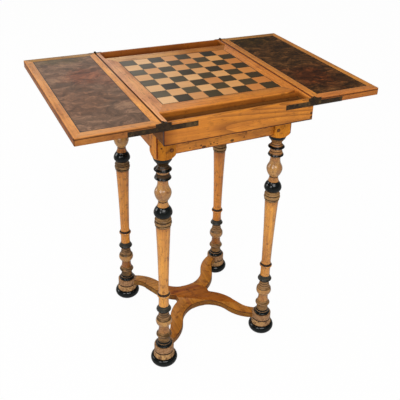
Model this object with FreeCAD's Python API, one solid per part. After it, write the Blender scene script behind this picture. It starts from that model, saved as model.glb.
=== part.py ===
import FreeCAD, Part
import math
import os

from FreeCAD import Vector

# Fold-over chess table on four turned legs joined by a flat cross stretcher.
# Millimetres. The origin is on the floor under the middle of the table, +X runs along the
# front to the right, +Y to the back and +Z up. The two leaves are modelled folded out flat.

# ---- The box under the top ----
table_height = 720.0
box_width = 352.0              # along X
box_depth = 466.0              # along Y
box_height = 50.5
end_rail_thickness = 8.0       # front and back rails
side_rail_thickness = 9.0
rail_top_radius = 4.0          # rounded outer edge along the top of the front and back rails
rail_foot_radius = 2.0
rail_end_radius = 4.0          # upright corners of the box, below the hinge straps
bottom_board_thickness = 6.0
bottom_rebate = 4.0            # how far the bottom board is let into the rails
well_width = 44.5              # open trough for the men along the front and the back
partition_thickness = 6.0
partition_setback = 2.0        # behind the front edge of the chess top

# ---- The chess top, glued over the middle of the box ----
board_thickness = 13.0
veneer_thickness = 1.2
square_size = 35.6
squares_per_side = 8
border_line_width = 1.6
glue_line = 0.1                # between neighbouring squares of veneer
nosing_radius = 3.0            # rounded edge of the chess top over each well
notch_length = 31.0            # finger notch in the right end of the front margin
notch_width = 9.5
notch_depth = 4.5

# ---- The folding leaves ----
leaf_gap = 2.0                 # between the box and an open leaf
closed_gap = 2.0               # between the two leaves when both are folded over
leaf_thickness = 17.0
leaf_side_member = 17.8        # width of the mitred frame along the long edges
leaf_end_member = 21.2         # and along the short edges at the front and back
leaf_line_width = 1.8          # black line round the burr panel
leaf_edge_radius = 1.6
leaf_corner_extra = 0.9        # how much rounder the upright outer corners are
tongue_length = 4.0
tongue_thickness = 5.0
fold_clearance = 0.4           # between a folded leaf and the top it lies on

# ---- The hinges let into the front and back edges ----
hinge_reach = 74.0             # from the pin to the end of each strap
hinge_strap_height = 11.5
hinge_strap_thickness = 2.4
hinge_strap_drop = 5.5         # from the top of the table to the top of the strap
hinge_ear_length = 16.5        # raised part beside the pin
hinge_stop_gap = 0.3           # between the butting ends of the two straps
knuckle_radius = 3.0
ear_count = 3                  # ears round the pin: two of the box strap with the leaf strap's between
knuckle_layer = 2.0            # thickness of each ear
knuckle_block_length = 8.0
knuckle_block_height = 12.0
knuckle_side_clearance = 0.1
knuckle_sweep_clearance = 0.3
pin_radius = 1.25
pin_running_clearance = 0.05
pin_seat_clearance = 0.01

# ---- The stand ----
leg_spacing = 290.4            # between leg axes, the same both ways
block_size = 44.0              # square top of a leg
block_height = 58.5
shoulder_height = 14.0         # the rounded underside of the block
shoulder_radius = 21.2
shoulder_swell = 28.5          # radius of the rounding half way down
shoulder_rise = 3.0            # how far the rounding reaches up the corners of the block
apron_height = 61.0
apron_thickness = 18.0
apron_setback = 6.5            # behind the outer face of the block
tenon_length = 18.0
tenon_thickness = 7.0
tenon_shoulder = 7.0           # cut off the tenon above and below
peg_radius = 3.25
peg_length = 19.0
peg_facets = 8                 # riven, not turned
peg_offset = 12.5              # from the leg axis towards the apron
peg_low = 11.0                 # above the bottom of the block
peg_high = 46.0
glue_block_size = 22.0
glue_block_height = 28.0
glue_block_spacing = 150.0
screw_radius = 2.0
screw_head_radius = 4.0
screw_head_height = 2.5
screw_bite = 5.0               # into the bottom board of the box

# ---- The turning of a leg, from the block down ----
# Each element: height, radius at its top, largest radius (None for a straight side), radius
# at its bottom. A swelling element is one arc through the three radii.
turning_above_shaft = (
    (13.5, 21.2, 20.2, 12.0),      # black cup
    (6.5, 12.0, None, 12.4),       # neck
    (5.5, 12.4, None, 19.8),       # upper black ring
    (4.5, 19.8, None, 19.8),
    (6.0, 19.8, None, 15.2),
    (7.5, 15.2, None, 15.2),       # pale fillet
    (4.5, 15.2, None, 18.6),       # lower black ring
    (4.5, 18.6, None, 18.6),
    (6.5, 18.6, None, 12.4),
    (7.0, 12.4, None, 12.4),       # neck
    (21.5, 12.4, 17.6, 19.6),      # vase
    (23.0, 19.6, 17.6, 10.4),
    (3.0, 10.4, None, 10.4),
    (14.0, 10.4, None, 18.6),      # cone
    (27.0, 18.6, 21.8, 17.4),      # black ball
    (4.5, 16.2, None, 16.2),
    (4.0, 16.2, None, 20.1),       # collar
    (14.0, 20.1, None, 20.1),
    (5.5, 20.1, None, 17.2),
)
shaft_radii = (17.2, 13.9, 12.1)   # top, middle and bottom of the long tapered shaft
turning_below_shaft = (
    (6.0, 12.1, None, 15.8),       # thin ring
    (7.0, 15.8, None, 15.8),
    (6.0, 15.8, None, 12.5),
    (23.0, 12.5, None, 12.5),      # short cylinder
    (8.5, 12.5, None, 18.4),       # dark ring
    (7.5, 18.4, None, 18.4),
    (8.5, 18.4, None, 12.3),
    (10.0, 12.3, None, 14.6),      # dark neck
    (42.0, 14.6, 20.2, 12.7),      # ball
    (4.0, 12.7, None, 12.7),
    (7.0, 12.7, None, 19.6),       # pale ring
    (10.0, 19.6, None, 19.6),
    (8.0, 19.6, None, 15.0),
    (8.0, 15.0, None, 15.0),
    (4.5, 15.0, None, 20.8),       # black base ring
    (10.0, 20.8, None, 20.8),
)
dowel_radius = 9.0
dowel_length = 34.0                # from the foot of the leg, through the stretcher into the foot
dowel_clearance = 0.05

# ---- Stretcher ----
stretcher_thickness = 17.0
pad_radius = 25.0
hub_half_depth = 40.0              # middle of the front and back edges
hub_half_width = 47.0              # straight part of the left and right edges
hub_flat_half = 10.0
end_bend = (66.0, 86.0)            # where a front or back edge changes from one curve to the other
side_bend = (94.0, 64.0)           # end of the first curve of a side edge
side_straight_from_pad = (40.0, 53.5)   # end of its straight part, back from the leg axis
end_landing = (16.3, -1.7)         # where the two edges run into the pad, back from the leg axis
side_landing = (9.7, 21.5)
side_heading = -30.0               # direction in which a side edge leaves the hub, in degrees
lap_corners = ((-47.0, 5.0), (28.0, -43.0), (47.0, 10.0), (17.0, 41.0))

# ---- Feet, turned in the same way as the legs ----
foot_turning = (
    (13.0, 24.5, None, 26.6),      # pale bun
    (4.5, 26.6, None, 27.2),
    (4.5, 27.2, None, 32.2),       # black base
    (6.0, 32.2, None, 34.0),
    (8.0, 34.0, None, 31.6),
    (5.0, 31.6, None, 25.0),
)

# ---- Places worked out from the sizes above ----
half_width = box_width / 2
half_depth = box_depth / 2
box_bottom = table_height - box_height
well_front = half_depth - end_rail_thickness
board_half_depth = well_front - well_width
side_inner = half_width - side_rail_thickness
board_bottom = table_height - board_thickness
core_top = table_height - veneer_thickness
field_half = square_size * squares_per_side / 2
border_half = field_half + border_line_width
leg_offset = leg_spacing / 2
foot_height = sum(element[0] for element in foot_turning)
stretcher_top = foot_height + stretcher_thickness
block_bottom = box_bottom - block_height
apron_outer = leg_offset + block_size / 2 - apron_setback
apron_inner = apron_outer - apron_thickness
apron_bottom = box_bottom - apron_height
pin_x = half_width + leaf_gap / 2
pin_z = table_height + fold_clearance / 2
leaf_inner = half_width + leaf_gap
leaf_width = half_width - closed_gap / 2
leaf_outer = leaf_inner + leaf_width
leaf_bottom = table_height - leaf_thickness
strap_top = table_height - hinge_strap_drop
strap_bottom = strap_top - hinge_strap_height
corners = {"front_left": (-1, -1), "front_right": (1, -1), "back_left": (-1, 1), "back_right": (1, 1)}


# ---- Helpers ----
def block(x0, x1, y0, y1, z0, z1):
    """A box between two limits on each axis, in either order."""
    low = Vector(min(x0, x1), min(y0, y1), min(z0, z1))
    return Part.makeBox(abs(x1 - x0), abs(y1 - y0), abs(z1 - z0), low)


def prism(points, z0, z1):
    """A flat polygon of (x, y) points raised from z0 to z1."""
    wire = Part.makePolygon([Vector(x, y, z0) for x, y in points] + [Vector(*points[0], z0)])
    return Part.Face(wire).extrude(Vector(0, 0, z1 - z0))


def rod(radius, start, end):
    """A round bar from one point to another."""
    way = end - start
    return Part.makeCylinder(radius, way.Length, start, way)


def mirrored(shape, sx, sy):
    """The shape of the back right corner taken to the corner with the signs given."""
    result = shape
    if sx < 0:
        result = result.mirror(Vector(0, 0, 0), Vector(1, 0, 0))
    if sy < 0:
        result = result.mirror(Vector(0, 0, 0), Vector(0, 1, 0))
    return result


def edges_where(shape, test):
    """The edges whose two ends both pass the test."""
    return [e for e in shape.Edges if all(test(v.Point) for v in e.Vertexes)]


def near(a, b):
    return abs(a - b) < 1e-6


def save(name, shape):
    """One solid, or a group of separate solids, into one file."""
    shape = shape.removeSplitter()
    solids = shape.Solids
    if not solids or not shape.isValid():
        raise ValueError(name + " is not a valid solid")
    (solids[0] if len(solids) == 1 else Part.makeCompound(solids)).exportStep("parts/" + name + ".step")


# ---- Turned work ----
def turned(elements, z_top):
    """A solid turned on the Z axis: elements stacked downwards, with a flat shoulder where radii differ."""
    z = z_top
    last = Vector(0, 0, z)
    edges = []
    for height, top, widest, bottom in elements:
        start = Vector(top, 0, z)
        end = Vector(bottom, 0, z - height)
        if last.distanceToPoint(start) > 1e-6:
            edges.append(Part.LineSegment(last, start).toShape())
        if widest is None:
            edges.append(Part.LineSegment(start, end).toShape())
        else:
            edges.append(Part.Arc(start, Vector(widest, 0, z - height / 2), end).toShape())
        z -= height
        last = end
    centre = Vector(0, 0, z)
    edges.append(Part.LineSegment(last, centre).toShape())
    edges.append(Part.LineSegment(centre, Vector(0, 0, z_top)).toShape())
    return Part.Face(Part.Wire(edges)).revolve(Vector(0, 0, 0), Vector(0, 0, 1), 360)


def leg_turning():
    """The turned part of a leg on the Z axis; its shaft takes the height that the other elements leave."""
    z_top = block_bottom - shoulder_height
    others = sum(element[0] for element in turning_above_shaft + turning_below_shaft)
    shaft = (z_top - stretcher_top - others,) + shaft_radii
    return turned(turning_above_shaft + (shaft,) + turning_below_shaft, z_top)


def leg_block():
    """The square top of a leg with its rounded underside, on the Z axis."""
    half = block_size / 2
    square = block(-half, half, -half, half, block_bottom - shoulder_height, box_bottom)
    corner_radius = half * math.sqrt(2) + 1
    dome = ((block_height - shoulder_rise, corner_radius, None, corner_radius),
            (shoulder_height + shoulder_rise, corner_radius, shoulder_swell, shoulder_radius))
    return square.common(turned(dome, box_bottom))


def dowel(clearance):
    """The round tenon at the foot of a leg, on the Z axis, with its length measured downwards."""
    top = Vector(0, 0, stretcher_top)
    return rod(dowel_radius + clearance, top, top - Vector(0, 0, dowel_length + clearance))


# ---- Stand ----
def apron_tenon(apron_end):
    """The tenon of the back apron that enters the leg at +X, and its mortise."""
    middle = (apron_outer + apron_inner) / 2
    half = tenon_thickness / 2
    return block(apron_end, apron_end + tenon_length, middle - half, middle + half,
                 block_bottom + tenon_shoulder, box_bottom - tenon_shoulder)


def turn_corner(shape):
    """What is on a leg's back face taken to its right-hand face."""
    return shape.mirror(Vector(0, 0, 0), Vector(1, -1, 0))


def back_apron():
    """Apron board with a tenon on both ends."""
    end = leg_offset - block_size / 2
    board = block(-end, end, apron_inner, apron_outer, apron_bottom, box_bottom)
    tenon = apron_tenon(end)
    return board.fuse([tenon, mirrored(tenon, -1, 1)]).cut(pegs_of_back_apron())


def peg(height):
    """A riven peg in the back face of the back right leg, at a height above the lower end of the block."""
    y_face = leg_offset + block_size / 2
    centre = Vector(leg_offset - peg_offset, y_face, block_bottom + height)
    ring = []
    for i in range(peg_facets + 1):
        angle = 2 * math.pi * (i + 0.5) / peg_facets
        ring.append(centre + Vector(peg_radius * math.cos(angle), 0, peg_radius * math.sin(angle)))
    return Part.Face(Part.makePolygon(ring)).extrude(Vector(0, -peg_length, 0))


def pegs_of_back_apron():
    """The four pegs that hold the back apron's two tenons."""
    right = [peg(peg_low), peg(peg_high)]
    return right + [mirrored(p, -1, 1) for p in right]


def side_apron_parts():
    """The right-hand apron and its pegs: the back apron turned round the corner."""
    return turn_corner(back_apron()), [turn_corner(p) for p in pegs_of_back_apron()]


def back_right_leg():
    """Block, turning and dowel in one piece, with its mortises and peg holes."""
    body = leg_block().fuse([leg_turning(), dowel(0)])
    body.translate(Vector(leg_offset, leg_offset, 0))
    mortise = apron_tenon(leg_offset - block_size / 2)
    holes = [mortise, turn_corner(mortise)]
    for height in (peg_low, peg_high):
        holes += [peg(height), turn_corner(peg(height))]
    return body.cut(holes)


def glue_block():
    """A block glued inside the back apron, through which the box is screwed down, and its screw."""
    x = glue_block_spacing / 2
    half = glue_block_size / 2
    y = apron_inner - half
    low = box_bottom - glue_block_height
    body = block(x - half, x + half, y - half, y + half, low, box_bottom)
    head = rod(screw_head_radius, Vector(x, y, low), Vector(x, y, low + screw_head_height))
    shank = rod(screw_radius, Vector(x, y, low), Vector(x, y, box_bottom + screw_bite))
    screw = head.fuse(shank)
    return body.cut(screw), screw


# ---- Stretcher ----
def arc_from(start, heading, end):
    """The arc that leaves start in the heading given and ends at end, and the heading there."""
    chord = end - start
    chord_angle = math.atan2(chord.y, chord.x)
    half_turn = chord_angle - heading
    radius_to_middle = chord.Length / 2 * math.tan(half_turn / 2)
    across = Vector(math.sin(chord_angle), -math.cos(chord_angle), 0)
    middle = (start + end) * 0.5 + across * radius_to_middle
    return Part.Arc(start, middle, end).toShape(), heading + 2 * half_turn


def quarter_outline():
    """The outline of the front right quarter of the stretcher."""
    z = foot_height
    pad = Vector(leg_offset, -leg_offset, z)
    front = Vector(0, -hub_half_depth, z)
    front_bend = Vector(end_bend[0], -end_bend[1], z)
    front_end = pad + Vector(-end_landing[0], end_landing[1], 0)
    side = Vector(hub_half_width, -hub_flat_half, z)
    first_bend = Vector(side_bend[0], -side_bend[1], z)
    straight_end = pad + Vector(-side_straight_from_pad[0], side_straight_from_pad[1], 0)
    side_end = pad + Vector(-side_landing[0], side_landing[1], 0)
    first, heading = arc_from(front, 0.0, front_bend)
    second, heading = arc_from(front_bend, heading, front_end)
    third, heading = arc_from(side, math.radians(side_heading), first_bend)
    straight = Part.LineSegment(first_bend, straight_end).toShape()
    run = straight_end - first_bend
    fourth, heading = arc_from(straight_end, math.atan2(run.y, run.x), side_end)
    across_pad = Part.LineSegment(front_end, side_end).toShape()
    hub_edge = Part.LineSegment(side, Vector(hub_half_width, 0, z)).toShape()
    to_middle = Part.LineSegment(Vector(hub_half_width, 0, z), Vector(0, 0, z)).toShape()
    from_middle = Part.LineSegment(Vector(0, 0, z), front).toShape()
    ring = [first, second, across_pad, fourth, straight, third, hub_edge, to_middle, from_middle]
    return Part.Wire(Part.__sortEdges__(ring))


def stretcher_board():
    """The whole cross-shaped board, before it is divided into its two arms."""
    up = Vector(0, 0, stretcher_thickness)
    arm = Part.Face(quarter_outline()).extrude(up)
    pad_centre = Vector(leg_offset, -leg_offset, foot_height)
    pad = rod(pad_radius, pad_centre, pad_centre + up)
    quarter = arm.fuse(pad)
    whole = quarter.fuse([mirrored(quarter, -1, 1), mirrored(quarter, 1, -1), mirrored(quarter, -1, -1)])
    holes = []
    for sx, sy in corners.values():
        hole = dowel(dowel_clearance)
        hole.translate(Vector(sx * leg_offset, sy * leg_offset, 0))
        holes.append(hole)
    return whole.removeSplitter().cut(holes)


def half_plane(a, b, reach):
    """A tall slab on the left of the line from a to b."""
    along = Vector(b[0] - a[0], b[1] - a[1], 0).normalize()
    left = Vector(-along.y, along.x, 0)
    start = Vector(a[0], a[1], 0)
    ring = [start - along * reach, start + along * reach, start + along * reach + left * reach,
            start - along * reach + left * reach]
    return prism([(p.x, p.y) for p in ring], foot_height, stretcher_top)


def stretcher_arms():
    """The long arm from back left to front right, and the cross arm halved into it from below."""
    whole = stretcher_board()
    reach = 2 * leg_offset
    west, south, east, north = lap_corners
    lap = prism(lap_corners, foot_height, foot_height + stretcher_thickness / 2)
    cross_tool = half_plane(south, west, reach).fuse([half_plane(north, east, reach), lap])
    return whole.cut(cross_tool), whole.common(cross_tool)


# ---- Feet ----
def foot():
    """A bun foot on the Z axis, bored for the leg's dowel."""
    return turned(foot_turning, foot_height).cut(dowel(dowel_clearance))


# ---- Hinges ----
def strap_outline(pin_side):
    """The parts of a back right hinge strap, on the box side (-1) or the leaf side (+1) of its pin."""
    y_face = half_depth
    y_back = y_face - hinge_strap_thickness
    y_deep = y_face - ear_count * knuckle_layer
    near_end = pin_x + pin_side * hinge_stop_gap / 2
    strap = block(near_end, pin_x + pin_side * hinge_reach, y_back, y_face, strap_bottom, strap_top)
    ear = block(near_end, pin_x + pin_side * hinge_ear_length, y_back, y_face, strap_bottom, table_height)
    side = half_width if pin_side < 0 else leaf_inner
    knuckle = block(side, side + pin_side * knuckle_block_length, y_deep, y_face,
                    table_height - knuckle_block_height, table_height)
    return strap, ear, knuckle


def ear_disc(radius, first_layer, last_layer, clearance=0.0):
    """A disc round the back right pin, through some of its layers, counted from the outside inwards."""
    start = half_depth - first_layer * knuckle_layer - clearance
    end = half_depth - last_layer * knuckle_layer + clearance
    return rod(radius, Vector(pin_x, start, pin_z), Vector(pin_x, end, pin_z))


def sweep_room():
    """The space that the turning ears need in the wood round the right-hand pin."""
    return ear_disc(knuckle_radius + knuckle_sweep_clearance, 0, ear_count, -knuckle_sweep_clearance)


def box_strap():
    """The half of a hinge on the box: two ears with a slot between them."""
    body = strap_outline(-1)
    solid = body[0].fuse([body[1], body[2], ear_disc(knuckle_radius, 0, 1), ear_disc(knuckle_radius, 2, 3)])
    slot = ear_disc(knuckle_radius + knuckle_sweep_clearance, 1, 2)
    hole = ear_disc(pin_radius + pin_seat_clearance, 0, ear_count)
    return solid.cut([slot, hole])


def leaf_tongue(knuckle):
    """The middle layer of the knuckle block, which carries the leaf's ear."""
    whole_block = knuckle_block_length + knuckle_block_height
    return knuckle.common(ear_disc(whole_block, 1, 2, knuckle_side_clearance))


def leaf_strap():
    """The half of a hinge on the leaf: one ear between the other two."""
    strap, ear, knuckle = strap_outline(1)
    disc = ear_disc(knuckle_radius, 1, 2, knuckle_side_clearance)
    sweep = knuckle_radius + knuckle_sweep_clearance
    room = [ear_disc(sweep, 0, 1, -knuckle_side_clearance), ear_disc(sweep, 2, 3, -knuckle_side_clearance)]
    hole = ear_disc(pin_radius + pin_running_clearance, 0, ear_count)
    return strap.fuse([ear, leaf_tongue(knuckle)]).cut(room).fuse(disc).cut(hole)


def box_hinge_mortise():
    """What is cut from the right-hand end of the back rail for its hinge."""
    return list(strap_outline(-1)) + [sweep_room()]


def leaf_hinge_mortise():
    """What is cut from the inner back corner of the right-hand leaf for its hinge."""
    strap, ear, knuckle = strap_outline(1)
    return [strap, ear, leaf_tongue(knuckle), sweep_room()]


# ---- Box ----
def bottom_board():
    """Thin board in a rebate round the underside of the box."""
    x = side_inner + bottom_rebate
    y = well_front + bottom_rebate
    return block(-x, x, -y, y, box_bottom, box_bottom + bottom_board_thickness)


def rail_end_waste():
    """What rounding takes off the upright corner of the box behind on the right, below the strap."""
    x = half_width - rail_end_radius
    y = half_depth - rail_end_radius
    square = block(x, half_width, y, half_depth, box_bottom, strap_bottom)
    return square.cut(rod(rail_end_radius, Vector(x, y, box_bottom), Vector(x, y, strap_bottom)))


def back_rail():
    """The full-width rail with its rounded outer edges and a hinge mortise at each end."""
    rail = block(-half_width, half_width, well_front, half_depth, box_bottom, table_height)
    top_edge = edges_where(rail, lambda p: near(p.y, half_depth) and near(p.z, table_height))
    rail = rail.makeFillet(rail_top_radius, top_edge)
    foot_edge = edges_where(rail, lambda p: near(p.y, half_depth) and near(p.z, box_bottom))
    rail = rail.makeFillet(rail_foot_radius, foot_edge)
    cuts = [bottom_board()]
    for tool in box_hinge_mortise() + [rail_end_waste()]:
        cuts += [tool, mirrored(tool, -1, 1)]
    return rail.cut(cuts)


def right_rail():
    """Side rail between the front and back rails, under the side margin of the chess top."""
    rail = block(side_inner, half_width, -well_front, well_front, box_bottom, board_bottom)
    return rail.cut(bottom_board())


def back_partition():
    """Upright board under the back edge of the chess top: the inner wall of the well."""
    y = board_half_depth - partition_setback
    return block(-side_inner, side_inner, y - partition_thickness, y,
                 box_bottom + bottom_board_thickness, board_bottom)


# ---- Chess top ----
def back_margin():
    """Mitred margin between the squares and the back well, with a rounded edge over the well."""
    outline = ((-border_half, border_half), (border_half, border_half),
               (side_inner, board_half_depth), (-side_inner, board_half_depth))
    margin = prism(outline, board_bottom, table_height)
    edge = edges_where(margin, lambda p: near(p.y, board_half_depth) and near(p.z, table_height))
    return margin.makeFillet(nosing_radius, edge)


def front_margin():
    """The same at the front, with the finger notch at its right-hand end."""
    y = board_half_depth
    notch = prism(((side_inner, -y), (side_inner - notch_length, -y), (side_inner, notch_width - y)),
                  table_height - notch_depth, table_height)
    return mirrored(back_margin(), 1, -1).cut(notch)


def right_margin():
    """Margin at the side of the squares, which also caps the side rail from front to back."""
    outline = ((border_half, -border_half), (border_half, border_half), (side_inner, board_half_depth),
               (side_inner, well_front), (half_width, well_front), (half_width, -well_front),
               (side_inner, -well_front), (side_inner, -board_half_depth))
    return prism(outline, board_bottom, table_height)


def board_core():
    """Ground under the squares."""
    return block(-border_half, border_half, -border_half, border_half, board_bottom, core_top)


def frame_line(x0, x1, y0, y1, width):
    """A flat rectangular line of veneer, its outside given."""
    outer = block(x0, x1, y0, y1, core_top, table_height)
    return outer.cut(block(x0 + width, x1 - width, y0 + width, y1 - width, core_top, table_height))


def squares(parity):
    """Every second square of the board, the back left one being dark (0)."""
    gap = glue_line / 2
    pieces = []
    for column in range(squares_per_side):
        for row in range(squares_per_side):
            if (column + squares_per_side - 1 - row) % 2 == parity:
                x = -field_half + column * square_size
                y = -field_half + row * square_size
                pieces.append(block(x + gap, x + square_size - gap, y + gap, y + square_size - gap,
                                    core_top, table_height))
    return Part.makeCompound(pieces)


# ---- Right-hand leaf ----
def leaf_blank():
    """The leaf's outer form, with its edges and outer corners eased."""
    slab = block(leaf_inner, leaf_outer, -half_depth, half_depth, leaf_bottom, table_height)
    upright = edges_where(slab, lambda p: near(p.x, leaf_outer) and near(abs(p.y), half_depth))
    upright = [e for e in upright if near(e.Length, leaf_thickness)]
    slab = slab.makeFillet(leaf_edge_radius + leaf_corner_extra, upright)
    rims = [e for e in slab.Edges
            if near(e.Vertexes[0].Z, e.Vertexes[-1].Z)
            and not all(near(v.X, leaf_inner) for v in e.Vertexes)]
    return slab.makeFillet(leaf_edge_radius, rims)


def leaf_panel_limits():
    """The opening inside the leaf's mitred frame."""
    return (leaf_inner + leaf_side_member, leaf_outer - leaf_side_member,
            leaf_end_member - half_depth, half_depth - leaf_end_member)


def leaf_core():
    """Ground board of the leaf, tongued all round into its frame."""
    x0, x1, y0, y1 = leaf_panel_limits()
    body = block(x0, x1, y0, y1, leaf_bottom, core_top)
    middle = (leaf_bottom + core_top) / 2
    tongue = block(x0 - tongue_length, x1 + tongue_length, y0 - tongue_length, y1 + tongue_length,
                   middle - tongue_thickness / 2, middle + tongue_thickness / 2)
    return body.fuse(tongue)


def leaf_members():
    """The four mitred members of the leaf's frame."""
    x0, x1, y0, y1 = leaf_panel_limits()
    xa, xb, ya, yb = leaf_inner, leaf_outer, -half_depth, half_depth
    outlines = {
        "front_member": ((xa, ya), (xb, ya), (x1, y0), (x0, y0)),
        "back_member": ((xa, yb), (x0, y1), (x1, y1), (xb, yb)),
        "inner_member": ((xa, ya), (x0, y0), (x0, y1), (xa, yb)),
        "outer_member": ((xb, ya), (xb, yb), (x1, y1), (x1, y0)),
    }
    back_cuts = leaf_hinge_mortise()
    cuts = [leaf_core()] + back_cuts + [mirrored(tool, 1, -1) for tool in back_cuts]
    blank = leaf_blank().cut(cuts)
    return {name: blank.common(prism(points, leaf_bottom, table_height))
            for name, points in outlines.items()}


def leaf_line():
    """Black line round the burr panel."""
    x0, x1, y0, y1 = leaf_panel_limits()
    return frame_line(x0, x1, y0, y1, leaf_line_width)


def leaf_burr():
    """Burr veneer inside the black line."""
    x0, x1, y0, y1 = leaf_panel_limits()
    w = leaf_line_width
    return block(x0 + w, x1 - w, y0 + w, y1 - w, core_top, table_height)


# ---- The whole table ----
def build_stand():
    leg = back_right_leg()
    bun = foot()
    bun.translate(Vector(leg_offset, leg_offset, 0))
    for corner, (sx, sy) in corners.items():
        save("leg_" + corner, mirrored(leg, sx, sy))
        save("foot_" + corner, mirrored(bun, sx, sy))
    back = back_apron()
    right, right_pegs = side_apron_parts()
    save("apron_back", back)
    save("apron_front", mirrored(back, 1, -1))
    save("apron_right", right)
    save("apron_left", mirrored(right, -1, 1))
    back_pegs = pegs_of_back_apron()
    pegs = back_pegs + [mirrored(p, 1, -1) for p in back_pegs]
    pegs += right_pegs + [mirrored(p, -1, 1) for p in right_pegs]
    save("apron_pegs", Part.makeCompound(pegs))
    wood, screw = glue_block()
    save("glue_blocks", Part.makeCompound([mirrored(wood, sx, sy) for sx, sy in corners.values()]))
    save("top_screws", Part.makeCompound([mirrored(screw, sx, sy) for sx, sy in corners.values()]))
    long_arm, cross_arm = stretcher_arms()
    save("stretcher_long_arm", long_arm)
    save("stretcher_cross_arm", cross_arm)


def build_box():
    rail = back_rail()
    save("box_back_rail", rail)
    save("box_front_rail", mirrored(rail, 1, -1))
    side = right_rail()
    save("box_right_rail", side)
    save("box_left_rail", mirrored(side, -1, 1))
    _, screw = glue_block()
    save("box_bottom_board", bottom_board().cut([mirrored(screw, sx, sy) for sx, sy in corners.values()]))
    save("well_partition_back", back_partition())
    save("well_partition_front", mirrored(back_partition(), 1, -1))


def build_board():
    save("board_core", board_core())
    save("board_margin_back", back_margin())
    save("board_margin_front", front_margin())
    save("board_margin_right", right_margin())
    save("board_margin_left", mirrored(right_margin(), -1, 1))
    save("board_border_line",
         frame_line(-border_half, border_half, -border_half, border_half, border_line_width))
    save("dark_squares", squares(0))
    save("light_squares", squares(1))


def build_leaves():
    pieces = dict(leaf_members(), core=leaf_core(), line=leaf_line(), burr_panel=leaf_burr())
    for side, sx in (("right", 1), ("left", -1)):
        for name, shape in pieces.items():
            save(side + "_leaf_" + name, mirrored(shape, sx, 1))


def build_hinges():
    pins = []
    for corner, (sx, sy) in corners.items():
        save("hinge_" + corner + "_box_strap", mirrored(box_strap(), sx, sy))
        save("hinge_" + corner + "_leaf_strap", mirrored(leaf_strap(), sx, sy))
        pins.append(mirrored(ear_disc(pin_radius, 0, ear_count), sx, sy))
    save("hinge_pins", Part.makeCompound(pins))


os.makedirs("parts", exist_ok=True)
build_stand()
build_box()
build_board()
build_leaves()
build_hinges()
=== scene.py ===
import bmesh
import bpy
import math
import random
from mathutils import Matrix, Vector


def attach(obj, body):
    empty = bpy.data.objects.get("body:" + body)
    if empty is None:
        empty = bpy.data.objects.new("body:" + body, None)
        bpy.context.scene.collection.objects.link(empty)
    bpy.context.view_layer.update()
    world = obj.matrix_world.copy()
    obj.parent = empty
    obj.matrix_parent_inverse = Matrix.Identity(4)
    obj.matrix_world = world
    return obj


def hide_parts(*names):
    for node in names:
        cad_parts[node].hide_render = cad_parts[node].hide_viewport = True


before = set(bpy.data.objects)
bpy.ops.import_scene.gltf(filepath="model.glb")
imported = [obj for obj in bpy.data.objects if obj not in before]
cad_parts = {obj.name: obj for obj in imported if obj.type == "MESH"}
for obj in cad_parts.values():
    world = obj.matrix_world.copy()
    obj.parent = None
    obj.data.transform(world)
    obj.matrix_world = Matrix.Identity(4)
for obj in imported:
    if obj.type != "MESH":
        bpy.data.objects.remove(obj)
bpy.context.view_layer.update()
print("frame loaded:", len(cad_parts), "nodes")

mm = 0.001
corners = {  # the nodes' own word for it, and its side in x and y
    "FrontLeft": ("front_left", -1, -1), "FrontRight": ("front_right", 1, -1),
    "BackLeft": ("back_left", -1, 1), "BackRight": ("back_right", 1, 1)}
copying = {"weld": 0.002, "flatAngle": 0.4}  # mm and degrees, for the copies of CAD meshes


# small helpers for working in edit mode
def point(x, y, z):
    return Vector((x, y, z)) * mm


def clearSelection():
    if bpy.context.mode != "OBJECT":
        bpy.ops.object.mode_set(mode="OBJECT")
    bpy.ops.object.select_all(action="DESELECT")


def workOn(piece):
    clearSelection()
    piece.select_set(True)
    bpy.context.view_layer.objects.active = piece


def editMode(piece, kind="VERT"):
    workOn(piece)
    bpy.ops.object.mode_set(mode="EDIT")
    bpy.ops.mesh.select_mode(type=kind)


def pick(piece, kind, test):  # kind is verts, edges or faces; the piece is in edit mode
    bpy.ops.mesh.select_all(action="DESELECT")
    form = bmesh.from_edit_mesh(piece.data)
    for item in getattr(form, kind):
        if test(item):
            item.select_set(True)
    bmesh.update_edit_mesh(piece.data)


def middle(item):
    points = [v.co for v in item.verts]
    return sum(points, Vector()) / len(points)


def addCube(name, low, high):  # corners in millimetres
    clearSelection()
    centre = [(a + b) / 2 * mm for a, b in zip(low, high)]
    bpy.ops.mesh.primitive_cube_add(size=1, location=centre,
                                    scale=[abs(b - a) * mm for a, b in zip(low, high)])
    piece = bpy.context.object
    piece.name = piece.data.name = name
    bpy.ops.object.transform_apply(location=True, rotation=True, scale=True)
    return piece


def copyOfNode(node, name):  # a merged copy of a CAD mesh, ready to be worked on
    piece = bpy.data.objects.new(name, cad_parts[node].data.copy())
    piece.data.name = name
    piece.data.materials.clear()
    bpy.context.scene.collection.objects.link(piece)
    editMode(piece)
    bpy.ops.mesh.select_all(action="SELECT")
    bpy.ops.mesh.remove_doubles(threshold=copying["weld"] * mm)
    bpy.ops.mesh.customdata_custom_splitnormals_clear()
    bpy.ops.mesh.dissolve_limited(angle_limit=math.radians(copying["flatAngle"]))
    bpy.ops.object.mode_set(mode="OBJECT")
    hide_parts(node)
    return piece


def useModifier(piece, kind, **settings):
    workOn(piece)
    modifier = piece.modifiers.new(kind.title(), kind)
    for key, value in settings.items():
        setattr(modifier, key, value)
    bpy.ops.object.modifier_apply(modifier=modifier.name)


def easeEdges(piece, width, angle=50):
    useModifier(piece, "BEVEL", width=width * mm, segments=2, limit_method="ANGLE",
                angle_limit=math.radians(angle), use_clamp_overlap=True)


def smoothByAngle(piece, angle=35):
    workOn(piece)
    bpy.ops.object.shade_smooth_by_angle(angle=math.radians(angle))


def joinInto(piece, others):
    workOn(piece)
    for other in others:
        other.select_set(True)
    bpy.ops.object.join()


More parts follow.
